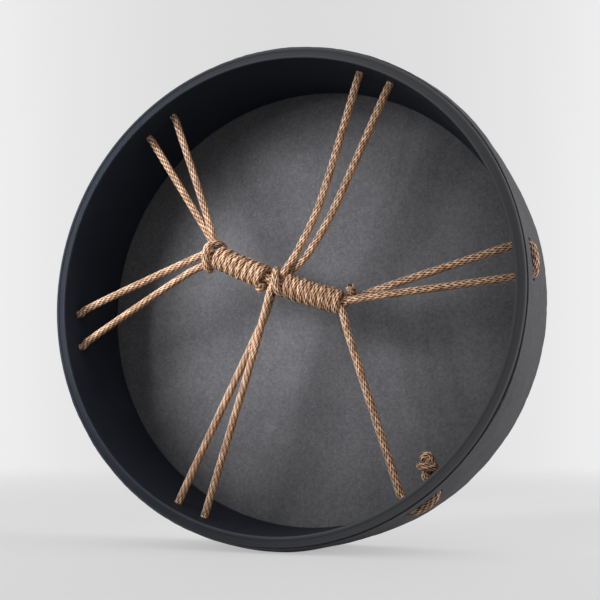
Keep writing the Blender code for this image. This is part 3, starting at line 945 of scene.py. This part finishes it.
strandValues = {
    "stub": 1.2 * mm,
    "run": 4.6 * mm,
    "inHole": 3.0 * mm,
    "hooks": {6: 3.4 * mm, 7: 3.4 * mm},  # how far the cord is raised just inside these holes
    "buttRun": 5.0,          # on from the core's end, mm
    "buttGap": 0.3,
    "phase": 0.37,
    "pathStep": 4,
    # name, hole and the points passed, the last inside the grip; those without points butt the core
    "routes": [
        ("strand_right_upper", 1, [(82.0, 17.2, -7.4), (69.0, 8.2, -7.6), (65.4, 5.6, -6.6)]),
        ("strand_right_lower", 0, []),
        ("strand_upper_right_left", 3,
         [(11.8, 70.0, 0.5), (8.2, 26.2, 1.6), (4.8, 11.6, 2.5), (3.6, 5.6, 1.2)]),
        ("strand_upper_right_right", 2,
         [(24.2, 67.7, -0.8), (16.6, 29.4, -1.8), (8.4, 14.6, -3.6), (5.4, 10.2, -4.0), (3.4, 5.4, -3.6)]),
        ("strand_upper_left_left", 5, [(-82.0, 16.5, -3.4), (-72.4, 9.8, -5.2), (-67.0, 5.4, -4.4)]),
        ("strand_upper_left_right", 4, [(-77.6, 22.0, -0.4), (-68.0, 11.6, 0.0), (-63.4, 6.0, 0.6)]),
        ("strand_left_upper", 6, []),
        ("strand_left_lower", 7, [(-80.0, -25.1, 0.0), (-68.0, -11.4, -1.6), (-63.6, -6.0, -1.6)]),
        ("strand_lower_left_left", 8,
         [(-1.2, -49.3, -3.0), (0.2, -29.0, -3.4), (-1.0, -7.6, -3.4), (-0.6, -3.0, -2.6)]),
        ("strand_lower_left_right", 9,
         [(4.6, -65.0, 1.2), (1.8, -29.0, 3.2), (-0.6, -7.8, 3.2), (-0.4, -3.0, 2.6)]),
        ("strand_lower_right", 10, [(74.6, -22.8, 1.6), (64.9, -8.4, 2.2), (60.8, -3.0, 1.8)]),
    ],
}


def butt(end, inner):
    end = Vector(end)
    way = (end - Vector(inner)).normalized()
    return [tuple(end + way * strandValues["buttRun"]), tuple(end + way * strandValues["buttGap"])]


def makeStrands():
    core = gripValues["coreRoute"]
    butts = {"strand_left_upper": butt(core[0], core[1]), "strand_right_lower": butt(core[-1], core[-2])}
    start = drum["mouthRadius"] - seatGap
    total = 0.0
    for name, hole, passes in strandValues["routes"]:
        reaches = (-strandValues["inHole"], 0.0, strandValues["stub"], strandValues["run"])
        route = [polar(start - reach, holes[hole]) for reach in reaches]
        route[-1].z += strandValues["hooks"].get(hole, 0.0)
        route += onGrip(*(passes or butts[name]))
        path = smoothRoute(route)
        piece = braidTube(name + "_braid", path, cordValues["diameter"], strandValues["phase"] * hole)
        length = float(np.linalg.norm(np.diff(path, axis=0), axis=1).sum())
        total += length
        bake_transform(piece)
        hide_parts(name)
    print("strands:", round(total, 3), "m of cord")


makeStrands()


# bights: the cord outside the shell, from one hole of a pair to the other, half sunk in the felt

# each with how much deeper it lies than in the CAD
bightList = [
    ("bight_right", 0.0),
    ("bight_upper_right", 2.2 * mm),
    ("bight_upper_left", 0.8 * mm),
    ("bight_left", 0.0),
    ("bight_lower_left", 2.2 * mm),
    ("bight_lower_right", 0.0),
]
bightValues = {
    "bend": 5.5 * mm,
    "bendSteps": 3,
    "sink": 1.1 * mm,
    "bow": 0.8 * mm,
    "phase": 0.21,
}


def bightHalf(degrees, towards, deeper):
    bend, steps = bightValues["bend"], bightValues["bendSteps"]
    foot = drum["radius"] - bightValues["sink"] - deeper - bend
    points = [polar(drum["mouthRadius"], degrees), polar((drum["mouthRadius"] + foot) / 2, degrees)]
    side = 1.0 if towards > degrees else -1.0
    for i in range(steps + 1):
        angle = math.pi / 2 * i / steps
        radius = foot + bend * math.sin(angle)
        turn = math.degrees(bend * (1.0 - math.cos(angle)) / radius)
        points.append(polar(radius, degrees + side * turn))
    return points


def makeBights():
    for i, (name, deeper) in enumerate(bightList):
        first, second = holes[2 * i], holes[2 * i + 1]
        crest = drum["radius"] - bightValues["sink"] - deeper + bightValues["bow"]
        route = bightHalf(first, second, deeper) + [polar(crest, (first + second) / 2)]
        route += bightHalf(second, first, deeper)[::-1]
        phase = bightValues["phase"] * i
        piece = braidTube(name + "_braid", smoothRoute(route), cordValues["diameter"], phase)
        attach(piece, "drum")
        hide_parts(name)
    print("bights:", len(bightList))


makeBights()


# stopper knot inside the last hole, its cut end scorched and frayed

knotValues = {
    "diameter": 6.5 * mm,
    "wrap": 5.1 * mm,
    "inHole": 3.0 * mm,
    "neck": 3.6 * mm,
    "lean": 58.0,
    "length": 12.5 * mm,
    "turns": 1,
    "turnSteps": 8,
    "start": 290.0,
    "coilStart": 100.0,
    "straight": (0.08, 0.4, 0.7, 1.0),  # shares of the length
    # rise and radius as shares of the wrap, and degrees round it
    "bend": [(0.43, 0.15, 0.0), (0.58, 0.51, 0.0), (0.43, 0.88, 5.0), (0.04, 1.04, 20.0),
             (-0.31, 1.02, 55.0)],
    "coilDrop": (0.51, 1.03),           # at its start, and added over a turn
    "coilRadius": (1.04, 0.08),
    "tail": [(0.2, 1.26, 14.0), (0.24, 1.5, 32.0), (0.36, 1.72, 52.0)],
    "scorch": 16.0 * mm,
    "fray": 9,
}


def makeKnot():
    v = knotValues
    wrap, length = v["wrap"], v["length"]
    out = (polar(1.0, holes[-1]) - polar(0.0, holes[-1])).normalized()
    axis = Matrix.Rotation(math.radians(v["lean"]), 3, "Y") @ -out
    side = Vector((axis.z, 0.0, -axis.x))
    mouth = polar(drum["mouthRadius"] - seatGap, holes[-1])
    neck = mouth - out * v["neck"]

    def place(inwards, radius, turn):
        turned = math.radians(v["start"] - turn)
        outwards = side * math.sin(turned) - Vector((0.0, math.cos(turned), 0.0))
        return neck + axis * inwards + outwards * radius

    route = [mouth + out * v["inHole"], mouth, mouth - out * v["neck"] / 2]
    route += [place(share * length, 0.0, 0.0) for share in v["straight"]]
    route += [place(length + up * wrap, radius * wrap, turn) for up, radius, turn in v["bend"]]
    for i in range(v["turns"] * v["turnSteps"] + 1):
        share = i / v["turnSteps"]
        inwards = length - (v["coilDrop"][0] + share * v["coilDrop"][1]) * wrap
        radius = (v["coilRadius"][0] + v["coilRadius"][1] * share) * wrap
        route.append(place(inwards, radius, v["coilStart"] + 360.0 * share))
    last = v["coilStart"] + 360.0 * v["turns"]
    route += [place(inwards * length, radius * wrap, last + turn) for inwards, radius, turn in v["tail"]]
    path = smoothRoute(route)
    knot = braidTube("stopper_knot_braid", path, v["diameter"], scorch=v["scorch"], fray=v["fray"])
    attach(knot, "drum")
    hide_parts("stopper_knot")
    print("stopper knot:", len(knot.data.polygons), "faces")


makeKnot()


# floor, light and background

stageValues = {
    "floor": (0.42, 0.42, 0.423),
    "floorRadius": 4.0,
    "floorSides": 64,
    "floorRoughness": 0.8,
    "floorSpecular": 0.1,
    "glow": 0.42,
    "fadeStart": 0.22,       # the floor fades into the background from here
    "fadeEnd": 3.0,
    "back": 0.716,
    "backRise": 1.6,         # towards the sides of the picture
    "backLimit": 0.09,
    "ambient": 0.61,
}


def makeFloor():
    v = stageValues
    look = Finish("floor_paper", v["floor"], v["floorRoughness"])
    look.constants({"Specular IOR Level": v["floorSpecular"]})
    place = look.add("ShaderNodeTexCoord", out="Object")
    far = look.add("ShaderNodeVectorMath", {"operation": "LENGTH"}, {0: place}, out="Value")
    seen = look.add("ShaderNodeLightPath", out="Is Camera Ray")
    glow = look.add("ShaderNodeEmission", {}, {"Color": (1.0, 1.0, 1.0, 1.0), "Strength": v["glow"]})
    none = look.add("ShaderNodeEmission", {}, {"Color": (0.0, 0.0, 0.0, 1.0), "Strength": 0.0})
    shown = look.add("ShaderNodeMixShader", {}, {0: seen, 1: none, 2: glow})
    paper = look.add("ShaderNodeAddShader", {}, {0: Wire(look.tree, look.shader.outputs[0]), 1: shown})
    clear = look.add("ShaderNodeBsdfTransparent")
    fade = far.step(v["fadeStart"], v["fadeEnd"])
    mixed = look.add("ShaderNodeMixShader", {}, {0: fade, 1: paper, 2: clear})
    plug(look.tree, look.tree.nodes["Material Output"].inputs[0], mixed)
    bm = bmesh.new()
    bmesh.ops.create_circle(bm, cap_ends=True, segments=v["floorSides"], radius=v["floorRadius"])
    finishMesh(bm, "floor", look.material)


def makeWorld():
    world = bpy.data.worlds.new("studio")
    scene.world = world
    world.use_nodes = True
    tree = world.node_tree
    tree.nodes.clear()
    light = tree.nodes.new("ShaderNodeLightPath")
    through = Wire(tree, light.outputs["Is Transmission Ray"])
    seen = Wire(tree, light.outputs["Is Camera Ray"]).math("MAXIMUM", through)
    place = tree.nodes.new("ShaderNodeTexCoord")
    across = tree.nodes.new("ShaderNodeVectorMath")
    across.operation = "DOT_PRODUCT"
    plug(tree, across.inputs[0], Wire(tree, place.outputs["Generated"]))
    yaw = math.radians(view["yaw"])
    across.inputs[1].default_value = (math.cos(yaw), -math.sin(yaw), 0.0)
    aside = Wire(tree, across.outputs["Value"])
    squared = (aside * aside).math("MINIMUM", stageValues["backLimit"])
    tone = squared * stageValues["backRise"] + stageValues["back"]
    tint = tree.nodes.new("ShaderNodeCombineColor")
    for socket in tint.inputs[:3]:
        plug(tree, socket, tone)
    shown = tree.nodes.new("ShaderNodeBackground")
    plug(tree, shown.inputs["Color"], Wire(tree, tint.outputs[0]))
    ambient = tree.nodes.new("ShaderNodeBackground")
    ambient.inputs["Strength"].default_value = stageValues["ambient"]
    ambient.inputs["Color"].default_value = (1.0, 1.0, 1.0, 1.0)
    mixed = tree.nodes.new("ShaderNodeMixShader")
    plug(tree, mixed.inputs[0], seen)
    for shade, socket in ((ambient, mixed.inputs[1]), (shown, mixed.inputs[2])):
        tree.links.new(shade.outputs[0], socket)
    output = tree.nodes.new("ShaderNodeOutputWorld")
    tree.links.new(mixed.outputs[0], output.inputs[0])


# the key is nine lamps aimed at one spot, so that shadows stay soft in a small pool of light
keyValues = {
    "place": (-0.9, -1.2, 0.6),
    "apart": (0.30, 0.25),
    "aim": (-0.071, 0.04, 0.225),
    "size": 0.3,
    "power": 0.0655,
    "spread": 12.0,
}
sideValues = {
    "place": (1.45, 0.10, 0.45),
    "apart": (0.0, 0.0),
    "aim": (0.0, 0.0, 0.18),
    "size": 0.5,
    "power": 0.63,
    "spread": 36.0,
}


def makeLamp(name, values, across, up):
    data = bpy.data.lights.new(name, "AREA")
    data.size = values["size"]
    data.energy = values["power"]
    data.spread = math.radians(values["spread"])
    lamp = bpy.data.objects.new(name, data)
    scene.collection.objects.link(lamp)
    apart = Vector((across * values["apart"][0], 0.0, up * values["apart"][1]))
    lamp.location = Vector(values["place"]) + apart
    lamp.rotation_euler = (Vector(values["aim"]) - lamp.location).to_track_quat("-Z", "Y").to_euler()
    lamp.visible_camera = False


def makeLamps():
    for across in (-1.0, 0.0, 1.0):
        for up in (-1.0, 0.0, 1.0):
            makeLamp("key", keyValues, across, up)
    makeLamp("side", sideValues, 0.0, 0.0)


makeFloor()
makeWorld()
makeLamps()
print("stage: floor, world and lamps")
